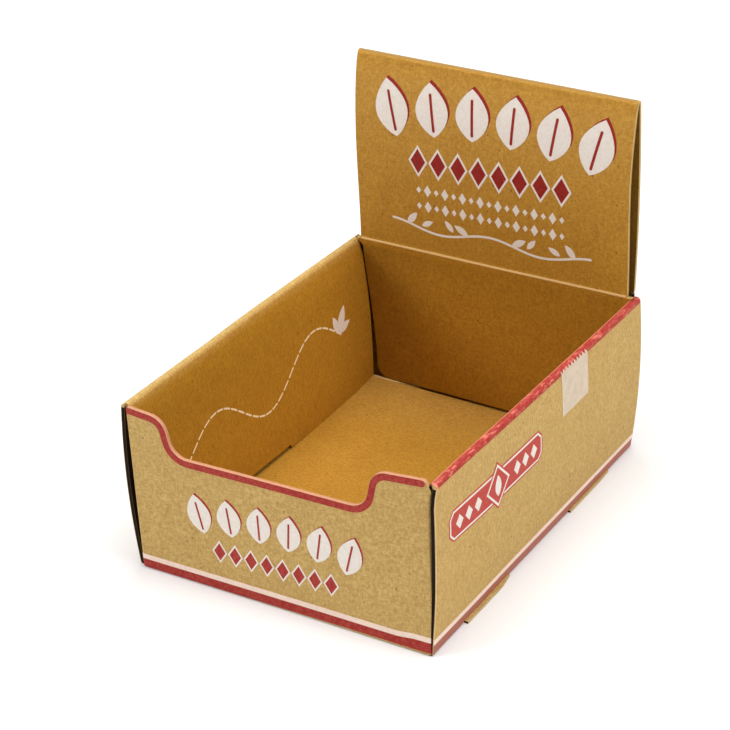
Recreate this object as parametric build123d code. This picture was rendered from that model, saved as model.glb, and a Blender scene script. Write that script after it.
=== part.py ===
from build123d import *
import os
from math import asin, atan, cos, degrees, radians, sin

os.makedirs("parts", exist_ok=True)

# Board and outside sizes, in millimetres and degrees.
# The box stands on z = 0, its front faces -Y and it is centred on x = 0 and y = 0.
board = 1.4                  # thickness of the fluted board
carton_width = 112.0         # over the feet of the two outer side walls
carton_depth = 149.5         # front face to back face
side_height = 60.5           # floor to the rolled top of a side wall
front_height = 61.0          # floor to the shoulders of the front wall
hinge_height = 61.5          # floor to the crease where the header starts
header_rise = 71.3           # that crease to the top fold of the header
panel_width = 110.0          # front wall and back wall
bend_inside = 0.2            # inside radius of an ordinary fold
quarter = 90.0               # a square fold

# Side walls: outer wall, rolled top and inner wall.
roll_width = 3.2             # across the rolled top, outside to outside
wall_bow = 1.5               # how far the outer wall swells at half height
inner_tilt = 7.0             # slope of the inner wall just under the roll
tilt_run = 5.0               # length of that slope
settle_radius = 20.0         # easing from the slope to the upright inner wall
foot_gap = 0.5               # clearance of the inner wall above the base
end_setback = 2.1            # side walls stop short of the front and back faces
flap_bay = 5.8               # room left for the tuck flap behind the inner wall, at the top
flap_bay_foot = 3.8          # and at the foot, as the flap leans back

# Ears of the front and back walls, held between outer and inner side walls.
ear_length = 38.0
ear_low = 7.0
ear_high = 52.0
ear_corner = 6.0
fold_drop = 2.2              # how far a corner fold stops below the top of its wall
shoulder_corner = 2.0        # rounding of the front wall's outer top corners

# Dip in the front wall, which is cut a little to the left of the middle.
dip_shift = -3.0
dip_depth = 14.5             # below the shoulders
dip_floor_half = 35.4        # half width at the bottom of the dip, before rounding
dip_mouth_half = 38.1        # half width at the top of the dip, before rounding
dip_floor_radius = 6.5
dip_mouth_radius = 6.2

# Header and tuck flap.
header_width = 108.4
header_fold = 0.85           # middle radius of the fold along the top
header_splay = 1.9           # the front panel stands off towards its foot
flap_return = 2.2            # the tuck flap leans back to the back wall
crease_radius = 1.2          # easing between header and tuck flap
flap_width = 104.0
flap_corner = 5.0
flap_foot = 2.4              # lower edge of the tuck flap above the floor
score_radius = 0.9           # pressed score lines
score_depth = 0.25

# Tongues of the base and the lock tabs of the inner walls.
tongue_centre = 38.0         # from the middle of the box to the middle of a tongue
tongue_length = 31.0
tongue_reach = 1.9           # beyond the foot of the outer wall
tongue_slant = 5.0           # the rear end slopes in by this much
tongue_gap = 0.2             # clearance cut round a tongue
tab_length = 23.4
tab_gap = 0.3                # clearance round a tab in its slot

# Tape strip on the right-hand outer wall.
tape_width = 19.0
tape_film = 0.1
tape_gap = 0.02              # keeps the strip clear of the board
tape_centre = 25.4           # middle of the strip behind the middle of the box
tape_low = 40.5              # lower edge above the floor
tape_high = 58.6             # slit edge, just under the roll

# Sizes that follow.
half_width = carton_width / 2
half_depth = carton_depth / 2
half_panel = panel_width / 2
half_header = header_width / 2
half_turn = 2 * quarter
bend = bend_inside + board / 2
bend_outside = bend_inside + board
total_height = hinge_height + header_rise
roll = (roll_width - board) / 2
flat_half = half_panel - bend_outside
fold_end = half_panel - bend_inside
dip_floor_height = front_height - dip_depth

# The outer wall is a shallow arc between the base fold and the roll.
bow_half = 2 * degrees(atan(2 * wall_bow / (side_height - board - bend - roll)))
bow_sine = sin(radians(bow_half))
bow_cosine = cos(radians(bow_half))
wall_start = board / 2 + bend * (1 - bow_sine)
wall_end = side_height - board / 2 - roll * (1 - bow_sine)
bow_radius = (wall_end - wall_start) / (2 * bow_sine)
wall_line = half_width - board / 2
bow_centre_x = wall_line - bow_radius * bow_cosine
bow_centre_z = (wall_start + wall_end) / 2


def chain(plane, start, heading, runs, thick=board):
    """Cross-section of a sheet along straight runs and bends that follow each other."""
    with BuildSketch(plane) as section:
        with BuildLine():
            spot = start
            for size, turn in runs:
                if turn:
                    aim = (cos(radians(heading)), sin(radians(heading)))
                    edge = JernArc(spot, aim, size, turn)
                else:
                    edge = PolarLine(spot, size, heading)
                spot = edge @ 1
                heading += turn
        trace(line_width=thick)
    return section.sketch


def block(x_range, y_range, z_range):
    """Box between pairs of limits."""
    sizes = [high - low for low, high in (x_range, y_range, z_range)]
    middle = [(high + low) / 2 for low, high in (x_range, y_range, z_range)]
    return Pos(*middle) * Box(*sizes)


def both_sides(solid):
    """The solid and its mirror image on the other side of the box."""
    return solid + mirror(solid, about=Plane.YZ)


def side_wall():
    """Right half of the base, outer wall, rolled top and inner wall."""
    tilt_rad = radians(inner_tilt)
    roll_turn = half_turn - bow_half - inner_tilt
    roll_foot = side_height - board / 2 - roll * (1 - sin(tilt_rad))
    settle_drop = settle_radius * sin(tilt_rad)
    inner_run = roll_foot - tilt_run * cos(tilt_rad) - settle_drop - board - foot_gap
    runs = [
        (wall_line - bend * bow_cosine, 0),
        (bend, quarter - bow_half),
        (bow_radius, 2 * bow_half),
        (roll, roll_turn),
        (tilt_run, 0),
        (settle_radius, inner_tilt),
        (inner_run, 0),
    ]
    section = chain(Plane.XZ, (0, board / 2), 0, runs)
    wall = extrude(section, half_depth - end_setback, both=True)
    roll_middle = half_width - roll_width / 2
    with BuildSketch(Plane.YZ) as bay:
        with BuildLine():
            Polyline((half_depth - flap_bay_foot, bend_outside), (half_depth, bend_outside),
                     (half_depth, side_height), (half_depth - flap_bay, side_height), close=True)
        make_face()
    return wall - extrude(bay.sketch, roll_middle)


def inner_line():
    """Middle of the inner wall's thickness at its foot."""
    tilt_rad = radians(inner_tilt)
    under_roll = wall_line - roll * (bow_cosine + cos(tilt_rad))
    return under_roll - tilt_run * sin(tilt_rad) - settle_radius * (1 - cos(tilt_rad))


def front_wall():
    """Front wall with its dip and rounded shoulders."""
    dip = [(dip_floor_half, dip_floor_height), (dip_mouth_half, front_height)]
    edge = [
        (fold_end, front_height),
        (fold_end, front_height - fold_drop),
        (flat_half, front_height - fold_drop),
        (flat_half, bend_outside),
    ]
    right = [(x + dip_shift, z) for x, z in dip] + edge
    left = [(dip_shift - x, z) for x, z in dip] + [(-x, z) for x, z in edge]
    outline = right + left[::-1]
    face_plane = Plane.XZ.offset(half_depth)
    with BuildSketch(face_plane) as panel:
        with BuildLine():
            Polyline(*outline, close=True)
        make_face()
        top = panel.vertices().group_by(Axis.Y)[-1].sort_by(Axis.X)
        fillet([top[1], top[2]], dip_mouth_radius)
        fillet([top[0], top[3]], shoulder_corner)
        floor = [v for v in panel.vertices() if abs(v.Y - dip_floor_height) < board]
        fillet(floor, dip_floor_radius)
    return extrude(panel.sketch, -board)


def base_and_back():
    """Front fold, base, back fold and back wall."""
    base_run = carton_depth - 2 * bend_outside
    back_run = hinge_height - bend_outside
    start = (-half_depth + board / 2, bend_outside)
    runs = [(bend, quarter), (base_run, 0), (bend, quarter), (back_run, 0)]
    sheet = extrude(chain(Plane.YZ, start, -quarter, runs), flat_half, both=True)
    front_fold = extrude(chain(Plane.YZ, start, -quarter, runs[:1]), fold_end, both=True)
    return sheet + front_fold + mirror(front_fold, about=Plane.XZ)


def header():
    """Rear panel, top fold, front panel and tuck flap."""
    splay_rad = radians(header_splay)
    rear_run = header_rise - board / 2 - header_fold
    fold_foot = total_height - board / 2 - header_fold + header_fold * sin(splay_rad)
    front_run = (fold_foot - hinge_height) / cos(splay_rad)
    flap_run = (hinge_height - flap_foot) / cos(radians(flap_return))
    start = (half_depth - board / 2, hinge_height)
    runs = [
        (rear_run, 0),
        (header_fold, half_turn - header_splay),
        (front_run, 0),
        (crease_radius, header_splay + flap_return),
        (flap_run, 0),
    ]
    section = chain(Plane.YZ, start, quarter, runs)
    sheet = extrude(section, half_header, both=True)
    crease_y = half_depth - board / 2 - header_fold * (1 + cos(splay_rad)) - front_run * sin(splay_rad)
    flap_rows = (crease_y - bend_outside, half_depth - board)
    trim = block((flap_width / 2, half_header), flap_rows, (0, hinge_height))
    with BuildSketch(Plane.XZ.offset(-flap_rows[0])) as corner:
        with Locations((flap_width / 2, flap_foot)):
            Rectangle(2 * flap_corner, 2 * flap_corner)
        with Locations((flap_width / 2 - flap_corner, flap_foot + flap_corner)):
            Circle(flap_corner, mode=Mode.SUBTRACT)
    rounding = extrude(corner.sketch, flap_rows[0] - flap_rows[1])
    score = Rot(0, quarter, 0) * Cylinder(score_radius, header_width)
    sunk = score_radius - score_depth
    front_score = Pos(0, crease_y - board / 2 - sunk, hinge_height) * score
    rear_score = Pos(0, half_depth + sunk, hinge_height) * score
    return sheet - both_sides(trim) - both_sides(rounding) - front_score - rear_score


def ears(wall_height):
    """Corner folds and ears at both ends of the front wall."""
    start = (flat_half - board, -half_depth + board / 2)
    fold_section = chain(Plane.XY.offset(bend_outside), start, 0, [(board, 0), (bend, quarter)])
    fold = extrude(fold_section, wall_height - fold_drop - bend_outside)
    with BuildSketch(Plane.YZ.offset(half_panel - board)) as plate:
        ear_middle = -half_depth + bend_outside + ear_length / 2
        with Locations((ear_middle, (ear_low + ear_high) / 2)):
            Rectangle(ear_length, ear_high - ear_low)
        fillet(plate.vertices().group_by(Axis.X)[-1], ear_corner)
    return both_sides(fold + extrude(plate.sketch, board))


def tongue(middle):
    """One tongue of the base on the right-hand side, with its rear end sloped."""
    front_end = middle - tongue_length / 2
    rear_end = middle + tongue_length / 2
    tip = half_width + tongue_reach
    root = half_width - bend_outside
    with BuildSketch() as plan:
        with BuildLine():
            Polyline((root, front_end), (tip, front_end), (tip, rear_end - tongue_slant),
                     (half_width, rear_end), (root, rear_end), close=True)
        make_face()
    return extrude(plan.sketch, board)


def tongue_notch(middle):
    """Cut that frees a tongue from the fold of the outer wall."""
    reach = tongue_length / 2 + tongue_gap
    rows = (middle - reach, middle + reach)
    return block((half_width - bend_outside, half_width + wall_bow), rows, (0, board + tongue_gap))


def tab(middle):
    """Lock tab under the inner wall."""
    columns = (inner_line() - board / 2, inner_line() + board / 2)
    rows = (middle - tab_length / 2, middle + tab_length / 2)
    return block(columns, rows, (tab_gap, board + 2 * foot_gap))


def slot(middle):
    """Slot in the base round a lock tab."""
    reach = tab_length / 2 + tab_gap
    columns = (inner_line() - board / 2 - tab_gap, inner_line() + board / 2 + tab_gap)
    return block(columns, (middle - reach, middle + reach), (0, board))


def tape():
    """Strip of tape that follows the swell of the right-hand outer wall."""
    middle_radius = bow_radius + board / 2 + tape_gap + tape_film / 2
    low, high = [degrees(asin((z - bow_centre_z) / middle_radius)) for z in (tape_low, tape_high)]
    start_x = bow_centre_x + middle_radius * cos(radians(low))
    start_z = bow_centre_z + middle_radius * sin(radians(low))
    runs = [(middle_radius, high - low)]
    section = chain(Plane.XZ, (start_x, start_z), quarter + low, runs, tape_film)
    return Pos(0, tape_centre, 0) * extrude(section, tape_width / 2, both=True)


middles = (-tongue_centre, tongue_centre)
carton = both_sides(side_wall()) + base_and_back() + front_wall() + header()
carton += ears(front_height) + mirror(ears(hinge_height), about=Plane.XZ)
for place in middles:
    carton -= both_sides(tongue_notch(place))
    carton -= both_sides(slot(place))
for place in middles:
    carton += both_sides(tongue(place))
    carton += both_sides(tab(place))

export_step(carton, "parts/folded_carton.step")
export_step(tape(), "parts/tape_strip.step")
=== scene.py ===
from math import asin, atan, ceil, cos, degrees, exp, pi, radians, sin, sqrt, tan

import bmesh
import bpy
from mathutils import Matrix, Vector, noise
from mathutils.geometry import tessellate_polygon


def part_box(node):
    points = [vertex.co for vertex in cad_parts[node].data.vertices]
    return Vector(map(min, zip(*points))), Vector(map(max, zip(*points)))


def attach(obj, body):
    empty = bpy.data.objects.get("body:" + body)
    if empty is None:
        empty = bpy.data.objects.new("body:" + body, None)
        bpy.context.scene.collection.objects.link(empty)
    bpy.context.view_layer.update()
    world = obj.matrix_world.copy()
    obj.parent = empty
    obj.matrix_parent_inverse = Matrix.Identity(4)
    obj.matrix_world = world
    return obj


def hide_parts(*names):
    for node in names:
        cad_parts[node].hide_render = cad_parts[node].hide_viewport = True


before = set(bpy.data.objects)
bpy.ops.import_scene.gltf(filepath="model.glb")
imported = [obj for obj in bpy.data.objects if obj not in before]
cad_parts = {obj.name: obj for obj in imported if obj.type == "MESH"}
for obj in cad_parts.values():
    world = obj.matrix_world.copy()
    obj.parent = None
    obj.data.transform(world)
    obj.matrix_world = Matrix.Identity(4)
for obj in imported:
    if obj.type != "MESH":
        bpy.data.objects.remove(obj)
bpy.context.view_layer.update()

# Shapes are worked out in millimetres and written to meshes in metres.
MM = 0.001

# Outside sizes come from the frame.
carton_high = Vector(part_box("folded_carton")[1]) / MM
half_depth = carton_high.y
total_height = carton_high.z
tongue_tip = carton_high.x

# Sizes of the folded sheet that the frame's boxes don't give.
board = 1.4
half_width = 56.0
side_height = 60.5
hinge_height = 61.5
half_panel = 55.0
quarter = 90.0
half_turn = 2 * quarter
bend = 0.2                   # folds are crushed, so the board turns on a small radius
bend_outside = bend + board / 2
bend_length = bend * radians(quarter)
flat_half = half_panel - bend_outside
base_half = half_depth - bend_outside

# Side walls.
roll_width = 3.2
roll = (roll_width - board) / 2
wall_bow = 1.5
inner_tilt = 7.0
tilt_run = 5.0
settle_radius = 20.0
foot_gap = 0.5
front_setback = {1: 0.3, -1: 1.45}     # the outer walls' front ends, to the right and left
rear_setback = 1.45
inner_setback = {1: 4.5, -1: 2.1}      # the inner walls start farther back
flap_bay = 4.3               # and end before the tuck flap, here at the top
flap_bay_foot = 3.8
front_rake = {1: 1.2, -1: 0.0}         # their front ends stand back above this height
rake_height = 25.0
roll_back = {1: 1.8, -1: 0.0}          # and the rolls still more
roll_back_run = 5.0
front_reach = 9.0
foot_notch_end = 12.9        # the inner walls' foot stands off the floor in front of this row
foot_notch = 1.3

# Ears of the front and back walls.
ear_length = 38.0
ear_low = 7.0
ear_high = 52.0
rear_ear_high = 59.0
ear_corner = 6.0
fold_drop = 2.2
rear_fold_drop = 0.8

# Dip in the front wall.
dip_shift = -3.35
dip_floor = 46.5
dip_floor_half = 35.05
dip_mouth_half = 37.75
dip_radius = 6.5
shoulder_in = {1: 60.5, -1: 59.8}      # shoulders fall a little towards the dip, right and left
shoulder_out = {1: 61.8, -1: 61.2}
shoulder_corner = 2.2        # rounding of the right-hand shoulder's outer end

# Header and tuck flap.
half_header = 54.2
header_fold = 0.85
header_splay = 1.9
flap_return = 2.2
crease_radius = 1.2
half_flap = 52.0
flap_corner = 5.0
flap_foot = 2.4
score_width = 0.5
score_depth = 0.25

# Tongues of the base, lock tabs and their slots.
tongue_centre = 38.0
tongue_length = 31.0
tongue_slant = 7.0
tongue_gap = 0.2
tongue_height = 0.8          # they are crushed flat
tongue_out = (-0.4, -1.1)    # how far the front and the rear tongues stand out beyond their walls
tab_length = 23.4
tab_gap = 0.3

# Spacing of mesh lines, and the reach over which a panel's slope is felt.
step = 3.0
fine_step = 0.35
arc_step = 11.0              # degrees
fold_parts = 6               # cells round a crushed fold
slope_reach = 0.02
halvings = 40


class Trail:
    """A line of straight runs and bends that follow each other, walked by distance."""

    def __init__(self, start, heading, runs):
        self.runs = []
        self.length = 0.0
        spot = Vector(start)
        angle = radians(heading)
        for size, turn in runs:
            turn = radians(turn)
            length = size * abs(turn) if turn else size
            self.runs.append((self.length, length, spot, angle, turn))
            spot = self.walk(spot, angle, turn / length, length)
            angle += turn
            self.length += length

    @staticmethod
    def walk(spot, angle, curl, distance):
        if not curl:
            return spot + Vector((cos(angle), sin(angle))) * distance
        after = angle + curl * distance
        return spot + Vector((sin(after) - sin(angle), cos(angle) - cos(after))) / curl

    def at(self, distance):
        """The point at a distance along the line."""
        for begin, length, spot, angle, turn in self.runs:
            if distance <= begin + length:
                break
        return self.walk(spot, angle, turn / length, distance - begin)

    def stops(self):
        """Distances close enough together to follow every bend."""
        marks = [0.0]
        for begin, length, _, _, turn in self.runs:
            parts = max(ceil(length / step), ceil(abs(degrees(turn)) / arc_step), 1)
            marks += [begin + length * (k + 1) / parts for k in range(parts)]
        return marks

    def height_stop(self, height, first, last):
        """The distance between two others at which the line reaches a height, found by halving."""
        rising = self.at(last).y > self.at(first).y
        for _ in range(halvings):
            middle = (first + last) / 2
            if (self.at(middle).y < height) == rising:
                first = middle
            else:
                last = middle
        return (first + last) / 2


# Painted shade on the board: 0 outside, deeper on the header, deeper still in the box and near black in
# narrow gaps.
HEADER_SHADE, INSIDE_SHADE, GAP_SHADE = 1.0, 2.0, 3.0


class Panel:
    """A bent surface in the middle of the board, with the depth of its painted shade given by a function of
    (u, v, lift).

    facing tells on which side of the surface the print is.
    """

    def __init__(self, place, facing, tone):
        self.place = place
        self.facing = facing
        self.tone = tone

    def at(self, u, v, lift):
        """The point over (u, v) at a distance from the middle, towards the printed side."""
        along_u = self.place(u + slope_reach, v) - self.place(u - slope_reach, v)
        along_v = self.place(u, v + slope_reach) - self.place(u, v - slope_reach)
        normal = along_u.cross(along_v).normalized()
        return self.place(u, v) + normal * (self.facing * lift)


def clamp(value, low=0.0, high=1.0):
    return min(max(value, low), high)


def ease(value):
    """0 below 0, 1 above 1 and smooth between."""
    value = clamp(value)
    return value * value * (3 - 2 * value)


def swell(value):
    """A hump from 0 at 0 over 1 at the middle to 0 at 1."""
    value = clamp(value)
    return 4 * value * (1 - value)


def between(low, high, share):
    return low + (high - low) * share


def spread(low, high, gap, *extra):
    """Evenly placed values from low to high, with extra ones among them."""
    count = max(1, ceil((high - low) / gap))
    marks = {round(between(low, high, k / count), 4) for k in range(count + 1)}
    marks |= {round(mark, 4) for mark in extra if low < mark < high}
    return sorted(marks)


# Slight waves all over, which hand-folded board always has.
wave_length = 55.0
wave_height = 0.22
wave_seed = 548              # keeps the fitted corners close to their places
noise.seed_set(wave_seed)

# The right-hand front corner of the foot stands a little forward.
corner_pull = Vector((0.4, -0.4, 0.0))
corner_reach = 60.0


def settled(point):
    """The point after the board has settled into its slight waves."""
    wave = noise.noise_vector(point / wave_length)
    inset = Vector((half_panel - point.x, point.y + half_depth, point.z)) / corner_reach
    near = ease(1 - inset.x) * ease(1 - inset.y) * ease(1 - 2 * inset.z)
    return point + wave * (wave_height * ease(point.z / wave_length)) + corner_pull * near


# How far the outer walls stand out: foot in front, foot at the rear, top in front, top at the rear.
wall_lean = {1: (-0.5, -0.45, 0.1, 1.7), -1: (0.4, 0.0, 3.6, 1.3)}
inner_lean = {1: (0.0, 0.0, 0.1, 1.7), -1: (-0.6, -2.3, 3.6, 1.3)}
inner_swell = {1: 0.0, -1: 1.3}        # the left-hand inner wall swells into the box at the rear
roll_swell = {1: 0.0, -1: 0.65}        # and its roll swells out behind this share of the depth
roll_swell_from = 1 / 3
front_flat = {1: 0.9, -1: 0.0}         # the right-hand wall's bow is flatter at its front end
flat_reach = 40.0

bow_half = 2 * degrees(atan(2 * wall_bow / (side_height - board - bend - roll)))
bow_sine = sin(radians(bow_half))
bow_cosine = cos(radians(bow_half))
wall_line = half_width - board / 2
wall_start = board / 2 + bend * (1 - bow_sine)
wall_end = side_height - board / 2 - roll * (1 - bow_sine)
bow_radius = (wall_end - wall_start) / (2 * bow_sine)
tilt_rad = radians(inner_tilt)
roll_foot = side_height - board / 2 - roll * (1 - sin(tilt_rad))
inner_run = roll_foot - tilt_run * cos(tilt_rad) - settle_radius * sin(tilt_rad) - board - foot_gap
side_trail = Trail((flat_half, board / 2), 0, [
    (wall_line - bend * bow_cosine - flat_half, 0),
    (bend, quarter - bow_half),
    (bow_radius, 2 * bow_half),
    (roll, half_turn - bow_half - inner_tilt),
    (tilt_run, 0),
    (settle_radius, inner_tilt),
    (inner_run, 0),
])
wall_from = side_trail.runs[1][0]
roll_from = side_trail.runs[3][0]
roll_to = side_trail.runs[4][0]
roll_middle = (roll_from + roll_to) / 2
inner_line = side_trail.at(side_trail.length).x


def side_lean(sign, y, z, inner=False):
    """How far a side wall stands out at a row and height."""
    share = (y + half_depth) / (2 * half_depth)
    height = z / side_height
    leans = inner_lean[sign] if inner else wall_lean[sign]
    foot = between(leans[0], leans[1], ease(share))
    top = between(leans[2], leans[3], ease(share))
    top += roll_swell[sign] * swell((share - roll_swell_from) / (1 - roll_swell_from))
    if inner:
        bulge = inner_swell[sign] * ease(share)
    else:
        bulge = front_flat[sign] * ease(1 - (y + half_depth) / flat_reach)
    return between(foot, top, height) - bulge * swell(height)


def side_panel(sign):
    """Outer wall, rolled top and inner wall on one side, by distance along the section and row."""
    def place(s, y):
        spot = side_trail.at(s)
        lean = side_lean(sign, y, spot.y, s > roll_middle)
        return settled(Vector((sign * (spot.x + lean * clamp(s / wall_from)), y, spot.y)))

    # Painted shade: near black in the gap between the outer and inner walls, deeper on the inner wall's
    # face into the box.
    def tone(s, y, lift):
        if lift < 0:
            return GAP_SHADE
        return INSIDE_SHADE * ease((s - roll_middle) / step)
    return Panel(place, -sign, tone)


def wall_shape(sign):
    """Places on an outer wall, whose front end stands back towards the top."""
    def shape(s, y):
        near = ease(1 - (y + half_depth - front_setback[sign]) / front_reach)
        back = front_rake[sign] * ease(side_trail.at(s).y / rake_height)
        back += roll_back[sign] * ease(1 + (s - roll_from) / roll_back_run)
        return s, y + back * near
    return shape


def outer_stop(height):
    """Distance along a side wall's section at which its outer wall has that height."""
    return side_trail.height_stop(height, 0, roll_middle)


def inner_stop(height):
    """Distance along a side wall's section at which its inner wall has that height."""
    return side_trail.height_stop(height, roll_middle, side_trail.length)


# Front and back walls.
front_lean = 0.8             # the front wall's top leans back in the middle
front_twist = 1.8            # and more to the right, less to the left
front_pinch = 0.5            # its left end draws in at the foot
front_flare = 1.1            # and stands out at the top
front_trim = (-0.2, 0.75)    # its right end draws in, at the foot and at the top
end_trail = Trail((-base_half, board / 2), half_turn, [(bend, -quarter), (total_height, 0)])


def plan(u):
    """Sideways place and setback along an end wall that turns round its corners into the ears."""
    past = abs(u) - flat_half
    sign = 1 if u > 0 else -1
    if past <= 0:
        return u, 0.0
    angle = min(past / bend, radians(quarter))
    back = bend * (1 - cos(angle)) + max(past - bend_length, 0.0)
    return sign * (flat_half + bend * sin(angle)), back


def ear_lean(u, back, y, z):
    """How far an ear moves sideways with the side wall that holds it."""
    sign = 1 if u > 0 else -1
    return sign * side_lean(sign, y, z) * ease(back / ear_corner)


def front_place(u, v):
    x, back = plan(u)
    spot = end_trail.at(v)
    share = spot.y / side_height
    lean = (front_lean + front_twist * x / half_panel) * share * (1 - ease(back / ear_length))
    y = spot.x + back + lean
    left = ease(-x / half_panel)
    right = ease(x / half_panel)
    x += left * (front_pinch * (1 - share) - front_flare * share)
    x -= right * between(*front_trim, share)
    return settled(Vector((x + ear_lean(u, back, y, spot.y), y, spot.y)))


def back_place(u, v):
    x, back = plan(u)
    spot = end_trail.at(v)
    y = -spot.x - back
    return settled(Vector((x + ear_lean(u, back, y, spot.y), y, spot.y)))


def end_stop(height):
    """Distance along an end wall's section at which its outer face has that height."""
    if height >= bend_outside:
        return height - bend_outside + bend_length
    return bend_length * (1 - asin(1 - height / bend_outside) / radians(quarter))


cavity_shade = 2.5            # painted shade on the back wall behind the tuck flap, where little light reaches
# painted shade on the floor of the box
base_shade = 1.7
base_rear_shade = 1.05        # the base's painted shade is lighter towards the tuck flap
base_rear_from = 30.0
base_rear_run = 38.0


# Painted shade on the faces inside the box.
def inside_shade(u, v, lift):
    return INSIDE_SHADE if lift < 0 else 0.0


def base_shade_at(x, y, lift):
    if lift > 0:
        return 0.0
    return between(base_shade, base_rear_shade, ease((y - base_rear_from) / base_rear_run))


# Painted shade: near black on the ears, deeper on the faces inside the box.
def front_shade(u, v, lift):
    if abs(u) > flat_half + bend_length:
        return GAP_SHADE
    return inside_shade(u, v, lift)


def back_shade(u, v, lift):
    return max(front_shade(u, v, lift), cavity_shade if lift < 0 else 0.0)


front_panel = Panel(front_place, 1, front_shade)
back_panel = Panel(back_place, -1, back_shade)


# Base, header and tuck flap.
header_shift = 0.7           # the header stands a little to the right
header_bulge = 2.2           # its front panel swells forward
header_pinch = 0.7           # its left edge draws in at the foot
header_trim = 0.7            # and its right edge all the way
header_stretch = 0.8         # its left top corner stands higher
rear_bulge = 1.4             # its rear panel swells to the rear
flap_out = 0.9               # the tuck flap's left edge stands out at the crease
flap_taper = 4.2             # and curves in towards the foot
flap_reach = 1.4             # its right edge reaches the wall
flap_lift = 2.0              # and its left corner hangs higher
flap_curl = 1.5              # how sharply that edge curves
bulge_low = 1.5              # the front panel swells most above its middle
stretch_right = 0.4          # share of the stretch at the right top corner
header_top_shade = 1.4        # painted shade, deeper along the header's top
header_top_run = 7.0
header_foot_shade = 1.7       # and deeper towards the crease
# painted shade on the tuck flap
flap_painted_shade = 2.07
flap_corner_shade = 0.18      # painted shadow, deeper on the flap's left
flap_shade_from = -18.0
flap_shade_run = 32.0
header_wedge_shade = 2.45     # painted shade in the header's hollow
header_wedge_foot_shade = 2.7

base_bow = 2.6               # the base bows up towards its left-hand rear corner
bow_from = Vector((25.0, 5.0))
bow_run = Vector((75.0, 66.0))
bow_end = 71.0               # and goes down to the back wall's fold behind the tuck flap


def base_place(x, y):
    across = clamp((bow_from.x - x) / bow_run.x)
    along = clamp((y - bow_from.y) / bow_run.y)
    bow = base_bow * across * along ** 2 * (1 - ease((y - bow_end) / (base_half - bow_end)))
    return settled(Vector((x, y, board / 2 + bow)))


base_panel = Panel(base_place, -1, base_shade_at)

splay_rad = radians(header_splay)
rear_run = total_height - hinge_height - board / 2 - header_fold
front_run = (rear_run + header_fold * sin(splay_rad)) / cos(splay_rad)
flap_run = (hinge_height - flap_foot) / cos(radians(flap_return))
header_trail = Trail((half_depth - board / 2, hinge_height), quarter, [
    (rear_run, 0),
    (header_fold, half_turn - header_splay),
    (front_run, 0),
    (crease_radius, header_splay + flap_return),
    (flap_run, 0),
])
header_front_from = header_trail.runs[2][0]
crease_from = header_trail.runs[3][0]
flap_from = header_trail.runs[4][0]


def header_place(x, s):
    spot = header_trail.at(s)
    share = (spot.y - hinge_height) / (total_height - hinge_height)
    left = ease((half_header - x) / (2 * half_header))
    front = ease((s - header_front_from) / step)
    if s < flap_from:
        pull = header_pinch * (1 - ease(share)) * left - header_trim * ease(2 - 2 * share) * (1 - left)
    else:
        past = 1 - (s - flap_from) / flap_run
        taper = flap_taper * (1 - past ** 2) ** flap_curl
        pull = (taper - flap_out) * left + flap_reach * (1 - left)
    x += header_shift + pull * front
    forward = header_bulge * swell(max(share, 0.0) ** bulge_low) * front
    rearward = rear_bulge * swell(share) * (1 - front)
    pressed = score_depth * exp(-((spot.y - hinge_height) / score_width) ** 2)
    rise = header_stretch * max(share, 0.0) * between(stretch_right, 1, left)
    rise += flap_lift * max(-share, 0.0) * left
    return settled(Vector((x, spot.x - pressed - forward + rearward, spot.y + rise)))


def header_stop(height):
    """Distance along the header's section at which its front panel has that height."""
    return header_trail.height_stop(height, header_front_from, crease_from)


# Painted shade on the header, its hollow and the tuck flap.
def header_shade(x, s, lift):
    if lift < 0:
        foot = ease(1 - 2 * s / rear_run)
        return between(header_wedge_shade, header_wedge_foot_shade, foot)
    front = HEADER_SHADE * ease((s - rear_run) / (header_front_from - rear_run))
    top = (header_top_shade - HEADER_SHADE) * ease(1 - (s - header_front_from) / header_top_run)
    foot = (header_foot_shade - HEADER_SHADE) * ease((s - header_front_from) / front_run)
    corner = flap_corner_shade * ease((flap_shade_from - x) / flap_shade_run)
    flap = flap_painted_shade + corner - header_foot_shade
    return front * (HEADER_SHADE + top) + foot + flap * ease((s - crease_from) / step)


header_panel = Panel(header_place, -1, header_shade)


# Nets: flat patterns of cells that are laid on a panel.
def net(columns, rows, keep=None, shape=None):
    """Points and cells of a net of columns and rows, where keep tells which cells stay."""
    points = [shape(u, v) if shape else (u, v) for u in columns for v in rows]
    count = len(rows)
    cells = []
    for i in range(len(columns) - 1):
        for j in range(count - 1):
            middle = ((columns[i] + columns[i + 1]) / 2, (rows[j] + rows[j + 1]) / 2)
            if keep is None or keep(*middle):
                first = i * count + j
                cells.append([first, first + count, first + count + 1, first + 1])
    return points, cells


def filled(outlines, gap=step):
    """Net that fills closed outlines, cut into small cells so that it can follow a bent panel."""
    flat = bmesh.new()
    for outline in outlines:
        corners = [flat.verts.new((u, v, 0)) for u, v in outline]
        for triangle in tessellate_polygon([[Vector((u, v, 0)) for u, v in outline]]):
            flat.faces.new([corners[k] for k in triangle])
    for axis in (0, 1):
        values = [vert.co[axis] for vert in flat.verts]
        across = Vector((1 - axis, axis, 0))
        for cut in spread(min(values), max(values), gap)[1:-1]:
            parts = flat.verts[:] + flat.edges[:] + flat.faces[:]
            bmesh.ops.bisect_plane(flat, geom=parts, dist=1e-5, plane_co=across * cut, plane_no=across)
    flat.verts.index_update()
    points = [(vert.co.x, vert.co.y) for vert in flat.verts]
    cells = [[vert.index for vert in face.verts] for face in flat.faces]
    flat.free()
    return points, cells


# Meshes.
SKIN, CHANNEL, WAVE, CRUSHED, INKED = range(5)
sharp_angle = 35.0


def add_face(mesh, corners, spots, material):
    """One face with its material and its places on the flat pattern."""
    face = mesh.faces.new(corners)
    face.material_index = material
    face.smooth = True
    layer = mesh.loops.layers.uv.verify()
    for loop, spot in zip(face.loops, spots):
        loop[layer].uv = spot


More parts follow.
